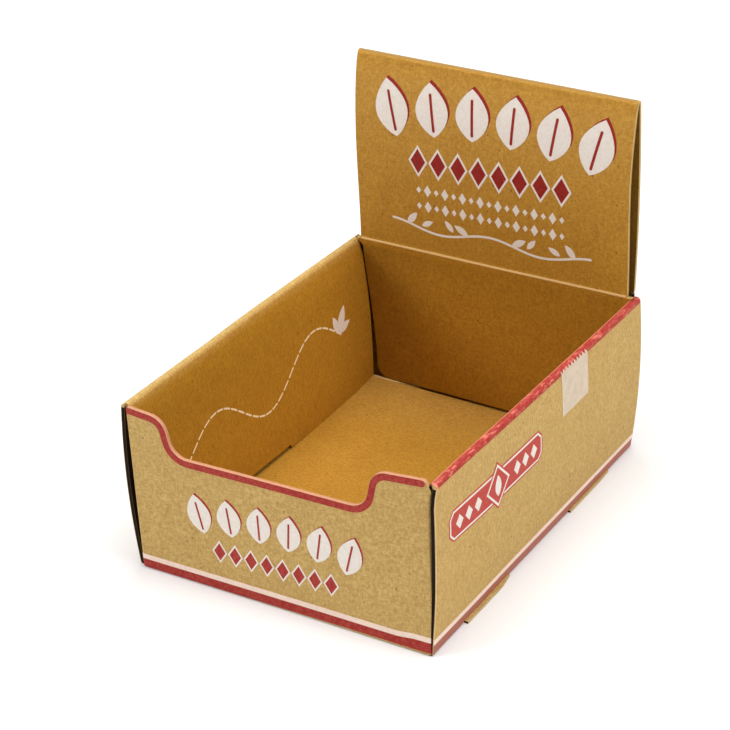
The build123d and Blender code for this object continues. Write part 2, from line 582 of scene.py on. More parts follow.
def add_slab(mesh, panel, flat, low, high, rims):
    """Closed slab over a net, with the materials of the rims that run along u and along v.

    rims may also be a function that gives both materials for a place on the net.
    """
    points, cells = flat
    # Each vertex keeps the painted shade of its place.
    painted_shades = mesh.verts.layers.float.get("tone") or mesh.verts.layers.float.new("tone")
    layers = []
    for lift in (low, high):
        layers.append([mesh.verts.new(panel.at(u, v, lift) * MM) for u, v in points])
        for vert, (u, v) in zip(layers[-1], points):
            vert[painted_shades] = panel.tone(u, v, lift)
    borders = {}
    for cell in cells:
        spots = [Vector(points[k]) * MM for k in cell]
        for layer in layers:
            add_face(mesh, [layer[k] for k in cell], spots, SKIN)
        for pair in zip(cell, cell[1:] + cell[:1]):
            key = frozenset(pair)
            borders[key] = None if key in borders else pair
    for a, b in [pair for pair in borders.values() if pair]:
        span = Vector(points[b]) - Vector(points[a])
        axis = 0 if abs(span.x) > abs(span.y) else 1
        ends = [points[a][axis] * MM, points[b][axis] * MM]
        spots = [(ends[0], 0), (ends[1], 0), (ends[1], 1), (ends[0], 1)]
        corners = [layers[0][a], layers[0][b], layers[1][b], layers[1][a]]
        pair = rims(*(Vector(points[a]) + Vector(points[b])) / 2) if callable(rims) else rims
        add_face(mesh, corners, spots, pair[axis])


def add_board(mesh, panel, flat, rims):
    """Slab of the board's whole thickness."""
    add_slab(mesh, panel, flat, -board / 2, board / 2, rims)


def add_prism(mesh, outline, low, high, rims):
    """Upright block over a flat outline, with a material for each side."""
    lower, upper = [[mesh.verts.new(Vector((x, y, z)) * MM) for x, y in outline] for z in (low, high)]
    spots = [Vector(point) * MM for point in outline]
    add_face(mesh, lower, spots, SKIN)
    add_face(mesh, upper, spots, SKIN)
    for k, rim in enumerate(rims):
        after = (k + 1) % len(outline)
        run = (Vector(outline[after]) - Vector(outline[k])).length * MM
        corners = [lower[k], lower[after], upper[after], upper[k]]
        add_face(mesh, corners, [(0, 0), (run, 0), (run, 1), (0, 1)], rim)


def linked(name, data):
    """A new object of the scene."""
    made = bpy.data.objects.new(name, data)
    bpy.context.collection.objects.link(made)
    return made


def finish_piece(name, mesh, materials, slot, *nodes):
    """Makes an object of the mesh, with its materials and the nodes that it stands for; slot is not used.
    """
    loose = [vert for vert in mesh.verts if not vert.link_faces]
    bmesh.ops.delete(mesh, geom=loose, context="VERTS")
    bmesh.ops.recalc_face_normals(mesh, faces=mesh.faces[:])
    data = bpy.data.meshes.new(name)
    mesh.to_mesh(data)
    mesh.free()
    data.set_sharp_from_angle(angle=radians(sharp_angle))
    for material in materials:
        data.materials.append(material)
    piece = linked(name, data)
    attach(piece, "root")
    if nodes:
        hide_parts(*nodes)


# Materials.
def rgb(red, green, blue):
    """Linear colour of a screen colour from 0 to 255."""
    parts = [part / 255 for part in (red, green, blue)]
    return (*[part / 12.92 if part < 0.04 else ((part + 0.055) / 1.055) ** 2.4 for part in parts], 1)


kraft_pale = rgb(218, 187, 121)
kraft_mid = rgb(199, 164, 97)
kraft_deep = rgb(165, 126, 64)
kraft_speck = rgb(104, 70, 30)
edge_pale = rgb(226, 198, 146)
edge_inked = rgb(228, 168, 144)
# painted shade in the hollows of the flutes
hollow_shade_colour = rgb(30, 17, 8)
ink_red = rgb(154, 28, 20)
ink_red_dusty = rgb(168, 92, 84)
ink_red_fresh = rgb(180, 54, 44)
ink_red_pale = rgb(214, 118, 100)
ink_white = rgb(236, 227, 218)
ink_white_thin = rgb(206, 190, 164)
ink_white_warm = rgb(248, 222, 206)
ink_cream = rgb(250, 230, 188)
# colour of pale strips: a painted highlight on the header's crease, and a strip on the floor of the box
pale_strip_colour = rgb(246, 206, 140)
# colour of the painted highlight along the right-hand wall's front edge
edge_highlight_colour = rgb(224, 190, 136)
# colour of the painted shade on the header's top fold
fold_shade_colour = rgb(156, 120, 58)
film_pale = rgb(244, 228, 205)
film_deep = rgb(234, 214, 186)

# Painted shade: what each step of it does to the board, to cut edges and to red ink, and the last step,
# near black, to all.
board_shade_tints = ((0.95, 0.76, 0.38, 1), (0.86, 0.78, 0.29, 1))
edge_shade_tints = ((0.95, 0.9, 0.8, 1), (0.9, 0.85, 0.7, 1))
ink_shade_tints = ((0.8, 0.4, 0.3, 1), (0.85, 0.65, 0.65, 1))
gap_shade_tint = (0.07, 0.045, 0.03, 1)

# Scales of the textures, in metres and per metre, and the depths of their bumps.
flute_pitch = 0.0033
flute_swing = 0.3            # shares of the board's thickness
medium_reach = 0.06, 0.16
liner_reach = 0.38, 0.45
fibre_scales = 1500.0, 1300.0
fibre_stretch = 0.45
cloud_scale = 180.0
speck_scale = 420.0
speck_limit = 0.93           # few of the cells have a speck
speck_reach = 0.08, 0.2      # which fades out between these shares of a cell
speck_strength = 0.75
rough_scale = 1800.0
patch_scale = 900.0
streak_scale = 900.0
streak_stretch = 0.3
rub_scale = 160.0
haze_scale = 260.0
fibre_depth = 0.0001
cut_depth = 0.0002
scuff_heights = 0.0575, 0.0598         # ink is rubbed off between these heights


def feed(tree, made, inputs):
    """Gives a node's inputs their values or links."""
    for key, value in inputs.items():
        if isinstance(value, bpy.types.NodeSocket):
            tree.links.new(value, made.inputs[key])
        else:
            made.inputs[key].default_value = value


def node(tree, kind, inputs=None, **settings):
    """Adds a shader node, with its settings and with values or links for its inputs."""
    made = tree.nodes.new("ShaderNode" + kind)
    for key, value in settings.items():
        setattr(made, key, value)
    feed(tree, made, inputs or {})
    return made


def blend(tree, factor, first, second):
    """Colour that goes from the first to the second by a factor."""
    mixed = node(tree, "Mix", {0: factor, 6: first, 7: second}, data_type="RGBA")
    return mixed.outputs[2]


def remap(tree, value, low, high, new_low=0.0, new_high=1.0):
    """Value stretched from one range to another, and kept inside it."""
    inputs = {0: value, 1: low, 2: high, 3: new_low, 4: new_high}
    return node(tree, "MapRange", inputs).outputs[0]


def vary(tree, noise_value, low, high):
    """Value from low to high over the range in which most of a noise lies."""
    return remap(tree, noise_value, 0.3, 0.7, low, high)


def reckon(tree, operation, first, second):
    return node(tree, "Math", {0: first, 1: second}, operation=operation).outputs[0]


def start_material(name):
    """A new node material: its tree, its shader and its object coordinates."""
    material = bpy.data.materials.new(name)
    material.use_nodes = True
    tree = material.node_tree
    shader = tree.nodes["Principled BSDF"]
    where = node(tree, "TexCoord").outputs["Object"]
    return material, tree, shader, where


def clouds(tree, where, scale, detail, roughness=0.5):
    """Soft patches without a direction."""
    inputs = {"Vector": where, "Scale": scale, "Detail": detail, "Roughness": roughness}
    return node(tree, "TexNoise", inputs).outputs["Fac"]


def grain(tree, where, stretch, scale):
    """Fine fibres drawn out along one direction."""
    mapped = node(tree, "Mapping", {"Vector": where, "Scale": stretch}).outputs[0]
    return clouds(tree, mapped, scale, 5.0, 0.65)


def with_painted_shade(tree, colour, tints):
    """Colour darkened step by step by the painted shade of the place."""
    tone = node(tree, "Attribute", attribute_name="tone").outputs["Fac"]
    limits = (0.0, HEADER_SHADE, INSIDE_SHADE, GAP_SHADE)
    for low, high, tint in zip(limits, limits[1:], (*tints, gap_shade_tint)):
        inputs = {0: remap(tree, tone, low, high), 6: colour, 7: tint}
        colour = node(tree, "Mix", inputs, data_type="RGBA", blend_type="MULTIPLY").outputs[2]
    return colour


def kraft_colour(tree, where):
    """Colour of brown board, darkened by painted shade, and the height of its fibres."""
    lengthwise = grain(tree, where, (fibre_stretch, 1.0, 1.0), fibre_scales[0])
    upright = grain(tree, where, (1.0, 1.0, fibre_stretch), fibre_scales[1])
    fibre = reckon(tree, "MULTIPLY", reckon(tree, "ADD", lengthwise, upright), 0.5)
    cloud = clouds(tree, where, cloud_scale, 4.0)
    colour = blend(tree, remap(tree, fibre, 0.4, 0.6), kraft_deep, kraft_pale)
    colour = blend(tree, 0.4, colour, kraft_mid)
    shade = blend(tree, vary(tree, cloud, 0.0, 0.22), colour, kraft_deep)
    cell = node(tree, "TexVoronoi", {"Vector": where, "Scale": speck_scale})
    rare = node(tree, "SeparateColor", {0: cell.outputs["Color"]}).outputs[0]
    spot = remap(tree, cell.outputs["Distance"], *speck_reach, 1.0, 0.0)
    speck = reckon(tree, "MULTIPLY", spot, reckon(tree, "GREATER_THAN", rare, speck_limit))
    shade = blend(tree, reckon(tree, "MULTIPLY", speck, speck_strength), shade, kraft_speck)
    return with_painted_shade(tree, shade, board_shade_tints), fibre


def bumped(tree, height, strength, distance):
    inputs = {"Height": height, "Strength": strength, "Distance": distance}
    return node(tree, "Bump", inputs).outputs[0]


def kraft_material():
    """Brown board with fibres, clouds and specks."""
    material, tree, shader, where = start_material("kraft")
    colour, fibre = kraft_colour(tree, where)
    feed(tree, shader, {
        "Base Color": colour,
        "Roughness": vary(tree, fibre, 0.72, 0.88),
        "Normal": bumped(tree, fibre, 0.25, fibre_depth),
        "Specular IOR Level": 0.25,
    })
    return material


def cut_material(name, pale, wave_share, hollow_shade_share):
    """Cut edge of the board: two liners, with the flutes between them seen end on or along, painted shade
    in the hollows between them and the board's painted shade over all.
    """
    material, tree, shader, where = start_material(name)
    spot = node(tree, "SeparateXYZ", {0: node(tree, "UVMap").outputs[0]})
    turn = reckon(tree, "MULTIPLY", spot.outputs[0], 2 * pi / flute_pitch)
    swing = reckon(tree, "MULTIPLY", reckon(tree, "SINE", turn, 0.0), flute_swing * wave_share)
    middle = reckon(tree, "ADD", swing, 0.5)
    off = reckon(tree, "ABSOLUTE", reckon(tree, "SUBTRACT", spot.outputs[1], middle), 0.0)
    medium = remap(tree, off, *medium_reach, 1.0, 0.0)
    off_middle = reckon(tree, "ABSOLUTE", reckon(tree, "SUBTRACT", spot.outputs[1], 0.5), 0.0)
    liner = remap(tree, off_middle, *liner_reach)
    paper = reckon(tree, "MAXIMUM", liner, reckon(tree, "MULTIPLY", medium, wave_share))
    rough = clouds(tree, where, rough_scale, 5.0, 0.65)
    hollow_shade = reckon(tree, "MULTIPLY", reckon(tree, "SUBTRACT", 1.0, paper), hollow_shade_share)
    colour = blend(tree, remap(tree, rough, 0.35, 0.65, 0.0, 0.4), pale, kraft_deep)
    colour = with_painted_shade(tree, blend(tree, hollow_shade, colour, hollow_shade_colour), edge_shade_tints)
    feed(tree, shader, {
        "Base Color": colour,
        "Roughness": 0.9,
        "Normal": bumped(tree, reckon(tree, "ADD", paper, rough), 0.4, cut_depth),
        "Specular IOR Level": 0.15,
    })
    return material


def ink_material(name, ink, thin, scuffed=False):
    """Printed ink that lets some fibre through, and is rubbed off in streaks where it is scuffed."""
    material, tree, shader, where = start_material(name)
    kraft, fibre = kraft_colour(tree, where)
    patch = clouds(tree, where, patch_scale, 3.0)
    colour = blend(tree, remap(tree, patch, 0.35, 0.75, 0.0, 0.3), ink, thin)
    # Red ink is darkened by painted shade.
    if ink is ink_red:
        colour = with_painted_shade(tree, colour, ink_shade_tints)
    colour = blend(tree, remap(tree, fibre, 0.6, 0.7, 0.0, 0.5), colour, kraft)
    if scuffed:
        colour = blend(tree, scuff_share(tree, where), colour, ink_red_pale)
    feed(tree, shader, {
        "Base Color": colour,
        "Roughness": vary(tree, patch, 0.55, 0.75),
        "Normal": bumped(tree, fibre, 0.2, fibre_depth),
        "Specular IOR Level": 0.3,
    })
    return material


def scuff_share(tree, where):
    """Where the ink on a rolled edge is rubbed off: short streaks along its crest."""
    streak = remap(tree, grain(tree, where, (1.0, streak_stretch, 1.0), streak_scale), 0.5, 0.6)
    patch = clouds(tree, where, rub_scale, 2.0)
    height = node(tree, "SeparateXYZ", {0: where}).outputs[2]
    crest = remap(tree, height, *scuff_heights)
    broken = remap(tree, patch, 0.35, 0.55, 0.15, 1.0)
    return reckon(tree, "MULTIPLY", reckon(tree, "MULTIPLY", streak, broken), crest)


def tape_material():
    """Frosted film that lets the board show faintly."""
    material, tree, shader, where = start_material("frosted_film")
    haze = clouds(tree, where, haze_scale, 4.0)
    feed(tree, shader, {
        "Base Color": blend(tree, haze, film_pale, film_deep),
        "Alpha": vary(tree, haze, 0.5, 0.68),
        "Roughness": vary(tree, haze, 0.4, 0.6),
    })
    return material


kraft = kraft_material()
channel_edge = cut_material("edge_along_flutes", edge_pale, 0.0, 1.0)
wave_edge = cut_material("edge_across_flutes", edge_pale, 1.0, 0.6)
crushed_edge = cut_material("edge_crushed", edge_pale, 0.6, 0.15)
inked_edge = cut_material("edge_inked", edge_inked, 0.6, 0.15)
red_ink = ink_material("red_ink", ink_red, ink_red_pale)
scuffed_ink = ink_material("red_ink_scuffed", ink_red, ink_red_pale, scuffed=True)
pale_ink = ink_material("worn_red_ink", ink_red_pale, kraft_pale)
dusty_ink = ink_material("dusty_red_ink", ink_red_dusty, kraft_mid)
fresh_ink = ink_material("fresh_red_ink", ink_red_fresh, ink_red_pale)
white_ink = ink_material("white_ink", ink_white, ink_white_thin)
warm_ink = ink_material("warm_white_ink", ink_white_warm, ink_white_thin)
pale_strip_ink = ink_material("pale_strip_ink", pale_strip_colour, kraft_pale)
edge_highlight_ink = ink_material("edge_highlight_ink", edge_highlight_colour, kraft_pale)
painted_fold_shade = ink_material("painted_fold_shade", fold_shade_colour, kraft_deep)
cream_ink = ink_material("cream_ink", ink_cream, ink_white_thin)
frosted_film = tape_material()


# The folded carton.
def rounded(corners, radius, parts=8):
    """Line through corners with every inner corner turned into an arc."""
    corners = [Vector(corner) for corner in corners]
    points = [corners[0]]
    for before, corner, after in zip(corners, corners[1:], corners[2:]):
        first = (before - corner).normalized()
        second = (after - corner).normalized()
        half = first.angle(second) / 2
        centre = corner + (first + second).normalized() * (radius / sin(half))
        arm = corner + first * (radius / tan(half)) - centre
        sweep = (radians(half_turn) - 2 * half) * (1 if first.cross(second) < 0 else -1)
        for k in range(parts + 1):
            points.append(centre + Matrix.Rotation(sweep * k / parts, 2) @ arm)
    return points + [corners[-1]]


def corner_cut(past, radius):
    """What a round corner takes off an edge, at a distance past the corner's start."""
    return radius - sqrt(max(radius ** 2 - max(past, 0.0) ** 2, 0.0))


top_line = rounded([
    (-flat_half, shoulder_out[-1]),
    (dip_shift - dip_mouth_half, shoulder_in[-1]),
    (dip_shift - dip_floor_half, dip_floor),
    (dip_shift + dip_floor_half, dip_floor),
    (dip_shift + dip_mouth_half, shoulder_in[1]),
    (flat_half, shoulder_out[1]),
], dip_radius)


def line_height(x):
    """Height of the front wall's top line."""
    for before, after in zip(top_line, top_line[1:]):
        if x <= after.x:
            break
    share = clamp((x - before.x) / (after.x - before.x))
    return between(before.y, after.y, share) - corner_cut(x - flat_half + shoulder_corner, shoulder_corner)


ear_from = flat_half + bend_length
ear_end = ear_from + ear_length
ear_start = ear_from + board


def ear_limits(u, wall_low, wall_high, ear_top, drop):
    """Lower and upper limit of an end wall with its folds and ears at a place along it."""
    past = abs(u)
    if past <= ear_from:
        share = max(past - flat_half, 0.0) / bend_length
        return wall_low, wall_high - drop * share * share
    trim = corner_cut(past - (ear_end - ear_corner), ear_corner)
    share = ease((past - ear_from) / board)
    low = between(wall_low, end_stop(ear_low), share)
    high = between(wall_high - drop, end_stop(ear_top), share)
    return low + trim, high - trim


def end_net(height, columns, ear_top, drop):
    """Net of an end wall with its corner folds and ears, up to a height that may change along it."""
    fold = [bend_length * k / fold_parts for k in range(fold_parts + 1)]
    ear_marks = spread(ear_from, ear_end, step, ear_start, ear_end - ear_corner / 4)
    half = sorted({flat_half + mark for mark in fold} | set(ear_marks))
    every = [-u for u in reversed(half)] + [u for u in columns if abs(u) < flat_half - fine_step] + half
    plain_rows = spread(bend_length, end_stop(dip_floor), step)
    plain_top = plain_rows[-1]
    share_rows = spread(0.0, 1.0, 1 / 6)
    rows = fold[:-1] + plain_rows + [plain_top + share for share in share_rows[1:]]

    def shape(u, v):
        top = end_stop(height(clamp(u, -flat_half, flat_half)))
        low, high = ear_limits(u, 0.0, top, ear_top, drop)
        if abs(u) > ear_from + fine_step:
            return u, between(low, high, v / rows[-1])
        if v <= plain_top:
            return u, v
        return u, between(plain_top, high, v - plain_top)

    return net(every, rows, shape=shape)


def tongue_rows():
    """First and last row of each tongue."""
    for middle in (-tongue_centre, tongue_centre):
        yield middle - tongue_length / 2, middle + tongue_length / 2


notches = [(first - tongue_gap, last + tongue_gap) for first, last in tongue_rows()]
notch_rows = [row for pair in notches for row in pair]
notch_stop = outer_stop(tongue_height + tongue_gap)


def over_tongue(y):
    return any(first < y < last for first, last in notches)


def add_sides(mesh):
    """Outer walls, rolled tops and inner walls, notched over the tongues."""
    fronts = {sign: front_setback[sign] - half_depth for sign in (1, -1)}
    inner_reach = half_depth - flap_bay
    gap_stop = inner_stop(board + foot_gap + foot_notch)
    starts = {sign: inner_setback[sign] - half_depth for sign in (1, -1)}
    marks = notch_rows + [inner_reach, foot_notch_end, *starts.values()]
    columns = sorted(set(side_trail.stops() + [notch_stop, gap_stop, roll_middle]))
    slant = flap_bay - flap_bay_foot

    def rims(s, y):
        return (CRUSHED if roll_from < s < roll_to else CHANNEL), WAVE

    for sign in (1, -1):
        outer = wall_shape(sign)

        def shape(s, y):
            if s <= roll_middle:
                return outer(s, y)
            if y > inner_reach:
                return s, y
            low = 1 - side_trail.at(s).y / side_height
            return s, y + slant * low * ease(y / inner_reach)

        def keep(s, y):
            if wall_from < s < notch_stop and over_tongue(y):
                return False
            if s > gap_stop and y < foot_notch_end:
                return False
            return s < roll_middle or starts[sign] < y < inner_reach

        rows = spread(fronts[sign], half_depth - rear_setback, step, *marks)
        flat = net(columns, rows, keep, shape)
        add_board(mesh, side_panel(sign), flat, rims)


def add_base(mesh):
    """Base with its slots, and the tongues and lock tabs."""
    slot_in = inner_line - board / 2 - tab_gap
    slot_out = inner_line + board / 2 + tab_gap
    half_slot = tab_length / 2 + tab_gap
    slots = [(sign * tongue_centre - half_slot, sign * tongue_centre + half_slot) for sign in (-1, 1)]
    rows = spread(-base_half, base_half, step, *[row for pair in slots for row in pair])
    columns = spread(-flat_half, flat_half, step, -slot_out, -slot_in, slot_in, slot_out)

    def keep(x, y):
        return not (slot_in < abs(x) < slot_out and any(first < y < last for first, last in slots))

    add_board(mesh, base_panel, net(columns, rows, keep), (WAVE, CHANNEL))
    for sign in (-1, 1):
        for (first, last), out in zip(tongue_rows(), tongue_out):
            root = half_width - bend_outside
            middle = (first + last) / 2
            tip = tongue_tip + side_lean(sign, middle, 0) + out
            outline = [(root, first), (tip, first), (tip, last - tongue_slant),
                       (half_width, last), (root, last)]
            outline = [(sign * x, y) for x, y in outline]
            add_prism(mesh, outline, 0, tongue_height, (CHANNEL, CRUSHED, CRUSHED, CHANNEL, CRUSHED))
            tab = [(inner_line + side * board / 2, middle + end * tab_length / 2)
                   for side, end in ((-1, -1), (1, -1), (1, 1), (-1, 1))]
            tab = [(sign * x, y) for x, y in tab]
            add_prism(mesh, tab, tab_gap, board + 2 * foot_gap, (CHANNEL, SKIN, CHANNEL, SKIN))


# Places of mesh lines in the round corners of the tuck flap and of the shoulder.
flap_corner_shares = (0.02, 0.08, 0.18, 0.32, 0.5, 0.75)
shoulder_shares = (0.05, 0.15, 0.3, 0.5, 0.75, 1.0)


def add_header(mesh):
    """Rear panel, top fold, front panel and tuck flap with rounded lower corners."""
    end = header_trail.length
    near_score = [score_width * k for k in range(1, 4)]
    near_crease = [crease_from - gap for gap in near_score]
    near_end = [end - flap_corner * share for share in flap_corner_shares]
    stops = sorted(set(header_trail.stops() + near_crease + near_score + near_end))

    def shape(x, s):
        half = half_header
        if s > flap_from:
            half = half_flap - corner_cut(s - (end - flap_corner), flap_corner)
        return x * half, s

    flat = net(spread(-1.0, 1.0, step / half_header), stops, shape=shape)
    add_board(mesh, header_panel, flat, (CHANNEL, CRUSHED))


def make_carton():
    """The whole sheet as one piece."""
    mesh = bmesh.new()
    columns = [point.x for point in top_line]
    columns += [flat_half - shoulder_corner * share for share in shoulder_shares]
    gaps = spread(top_line[0].x, top_line[-1].x, step)
    front_columns = sorted(columns + [x for x in gaps if min(abs(x - c) for c in columns) > fine_step])
    front = end_net(line_height, front_columns, ear_high, fold_drop)
    add_board(mesh, front_panel, front, (INKED, INKED))
    back_columns = spread(-flat_half, flat_half, step)
    back = end_net(lambda u: hinge_height, back_columns, rear_ear_high, rear_fold_drop)
    add_board(mesh, back_panel, back, (CRUSHED, CRUSHED))
    add_sides(mesh)
    add_base(mesh)
    add_header(mesh)
    materials = [kraft, channel_edge, wave_edge, crushed_edge, inked_edge]
    finish_piece("carton_sheet", mesh, materials, "kraft_board", "folded_carton")


make_carton()


# Print: inks lie on the board in thin layers.
ink_film = 0.03


def print_ink(name, panel, flat, ink, layer=0, inside=False):
    """One printed field on a panel. Higher layers lie over lower ones."""
    mesh = bmesh.new()
    low = board / 2 - ink_film
    high = board / 2 + ink_film * (layer + 1)
    if inside:
        low, high = -high, -low
    add_slab(mesh, panel, flat, low, high, (SKIN, SKIN))
    finish_piece(name, mesh, [ink], "kraft_board")


def band(points, near, far):
    """Outline of a band beside a line, from one distance off it to another."""
    sides = []
    for k, point in enumerate(points):
        along = points[min(k + 1, len(points) - 1)] - points[max(k - 1, 0)]
        sides.append(Vector((along.y, -along.x)).normalized())
    first = [point + side * near for point, side in zip(points, sides)]
    second = [point + side * far for point, side in zip(points, sides)]
    return first + second[::-1]


def half_round(tip, ahead, aside, parts):
    """Points between the two ends of a half circle that goes round a tip."""
    turns = [radians(half_turn) * k / parts for k in range(1, parts)]
    return [tip + ahead * sin(turn) - aside * cos(turn) for turn in turns]


def stroke(points, width):
    """Outline of a line with some width and round ends."""
    half = width / 2
    ends = []
    for tip, before in ((points[-1], points[-2]), (points[0], points[1])):
        ahead = (tip - before).normalized()
        aside = Vector((ahead.y, -ahead.x))
        ends.append(half_round(tip, ahead * half, aside * half, 6))
    sides = band(points, -half, half)
    count = len(points)
    return sides[:count] + ends[0] + sides[count:] + ends[1]


def moved(outline, place, turn=0.0):
    """Outline turned by degrees and put at a place."""
    spin = Matrix.Rotation(radians(turn), 2)
    return [spin @ Vector(point) + Vector(place) for point in outline]


def on_face(face, outlines, gap=step):
    """The panel of a face, and the net on it that fills outlines drawn in upright places."""
    panel, to_panel = face
    points, cells = filled(outlines, gap)
    return panel, ([to_panel(*point) for point in points], cells)


def print_fields(name, face, outlines, ink, layer=0):
    """One printed piece of all the outlines."""
    print_ink(name, *on_face(face, outlines), ink, layer)


# Proportions of leaves, of fans of leaves and of outlined lozenges.
leaf_fullness = 0.85
leaf_lift = 1.1
fan_leaf_width = 0.62
fan_rise = 0.16
fan_turn = 13.0
fan_less = 0.1               # leaves in the middle of a fan are shorter
fan_shade = Vector((0.035, 0.05))
rib_shares = (0.12, 0.35, 0.58, 0.78)
rib_width = 0.05
outline_size = 1.3


def leaf(length, width, parts=12):
    """Outline of a leaf that stands on its stem."""
    shares = [k / parts for k in range(parts + 1)]
    side = [(width / 2 * sin(pi * share) ** leaf_fullness, length * share ** leaf_lift) for share in shares]
    return side + [(-x, z) for x, z in side[-2:0:-1]]


def lozenge(width, height):
    return [(width / 2, 0), (0, height / 2), (-width / 2, 0), (0, -height / 2)]


def plaque(width, height, cut):
    """Outline of an oblong plate with cut corners."""
    across, along = width / 2, height / 2
    corner = [(across, along - cut), (across - cut, along)]
    upper = corner + [(-x, z) for x, z in corner[::-1]]
    return upper + [(x, -z) for x, z in upper[::-1]]


def spaced(place, spacing, count):
    """Evenly spaced places on both sides of a middle place."""
    return [Vector(place) + Vector((spacing * (k - (count - 1) / 2), 0)) for k in range(count)]


def leaf_row(place, spacing, length, count=6):
    """Places, turns and sizes of a fan of upright leaves."""
    for k, spot in enumerate(spaced(place, spacing, count)):
        share = 2 * k / (count - 1) - 1
        inner = 1 - share * share
        rise = Vector((0, fan_rise * length * inner))
        yield spot + rise, -fan_turn * share, length * (1 - fan_less * inner)


def print_leaves(name, face, place, spacing, length):
    """Fan of white leaves with red shades and red midribs."""
    shades, whites, ribs = [], [], []
    shift = fan_shade * length
    for spot, turn, size in leaf_row(place, spacing, length):
        body = leaf(size, fan_leaf_width * length)
        whites.append(moved(body, spot, turn))
        shades.append(moved(body, spot + shift, turn))
        rib = [Vector((0, size * share)) for share in rib_shares]
        ribs.append(moved(stroke(rib, rib_width * length), spot, turn))
    print_fields(name + "_shades", face, shades, red_ink)
    print_fields(name + "_leaves", face, whites, white_ink, 1)
    print_fields(name + "_ribs", face, ribs, red_ink, 2)


def print_lozenges(name, face, place, spacing, size, count=8):
    """Row of red lozenges with white outlines."""
    spots = spaced(place, spacing, count)
    outer = [moved(lozenge(*(Vector(size) * outline_size)), spot) for spot in spots]
    inner = [moved(lozenge(*size), spot) for spot in spots]
    print_fields(name + "_outlines", face, outer, white_ink)
    print_fields(name + "_lozenges", face, inner, red_ink, 1)


def front_spot(x, z):
    return x, end_stop(z)


def header_spot(x, z):
    return x, header_stop(z)


def right_spot(y, z):
    return outer_stop(z), y


def inner_spot(y, z):
    return inner_stop(z), y


right_wall = side_panel(1)
left_wall = side_panel(-1)
right_shape = wall_shape(1)
header_face = header_panel, header_spot
front_face = front_panel, front_spot
right_face = right_wall, right_spot
inner_face = left_wall, inner_spot

# Stripes round the foot.
stripe_low = 0.05
stripe_mid = 3.6
stripe_high = 5.5
side_stripe_low = 0.72
side_stripe_mid = 3.9
side_stripe_high = 5.8
stripe_climb = 0.35          # the front's stripes climb to the right
corner_climb = 0.8           # and more so at the corner, where the red widens
corner_from = 42.0
corner_run = 8.0


def wall_rows(sign):
    """First and last row of the print on a side wall, just inside its ends."""
    margin = board / 8
    return front_setback[sign] + margin - half_depth, half_depth - rear_setback - margin


def climbing(x, s):
    """Place on an end wall's stripes, which climb to the right."""
    share = (x + flat_half) / (2 * flat_half)
    corner = ease((x - corner_from) / corner_run) * ease(s / end_stop(stripe_mid))
    return x, s + stripe_climb * share + corner_climb * corner


def make_stripes():
    """Red and white stripes round the foot of all four walls."""
    reach = flat_half + bend_length
    columns = spread(-reach, reach, step, *[sign * (flat_half + bend_length * k / 4)
                                            for sign in (-1, 1) for k in range(4)])
    turns = [bend_length * k / 8 for k in range(9)]
    red_rows = spread(end_stop(stripe_low), end_stop(stripe_mid), step, *turns)
    white_rows = spread(end_stop(stripe_mid), end_stop(stripe_high), step)
    for name, panel in (("front", front_panel), ("back", back_panel)):
        print_ink(name + "_stripe_red", panel, net(columns, red_rows, shape=climbing), red_ink)
        print_ink(name + "_stripe_white", panel, net(columns, white_rows, shape=climbing), warm_ink)
    limits = [outer_stop(height) for height in (side_stripe_low, side_stripe_mid, side_stripe_high)]
    red_columns = spread(limits[0], limits[1], step, notch_stop, *side_trail.stops())
    white_columns = spread(limits[1], limits[2], step)

    def keep(s, y):
        return s > notch_stop or not over_tongue(y)

    for name, sign, panel in (("right", 1, right_wall), ("left", -1, left_wall)):
        rows = spread(*wall_rows(sign), step, *notch_rows)
        shape = wall_shape(sign)
        print_ink(name + "_stripe_red", panel, net(red_columns, rows, keep, shape), dusty_ink)
        print_ink(name + "_stripe_white", panel, net(white_columns, rows, shape=shape), warm_ink)


# Red lines along the front wall's top edge and the right-hand roll.
edge_line = 2.35
edge_inset = 0.1
edge_stop = 51.9
fold_red_share = 0.6         # how far the line goes round the left-hand fold
roll_red_front = 58.9        # lower limit of the red on the outer wall, front and rear
roll_red_rear = 58.6
roll_red_share = 0.62        # how far over the roll the red goes
roll_pale_share = 0.74
roll_bare = 1.4              # the roll's front end is rubbed


def fold_shape(share, v):
    """Place of the red line on the front wall's left-hand fold."""
    high = end_stop(shoulder_out[-1] - edge_inset) - fold_drop * share * share
    return -flat_half - bend_length * share, high - edge_line * (1 - v)


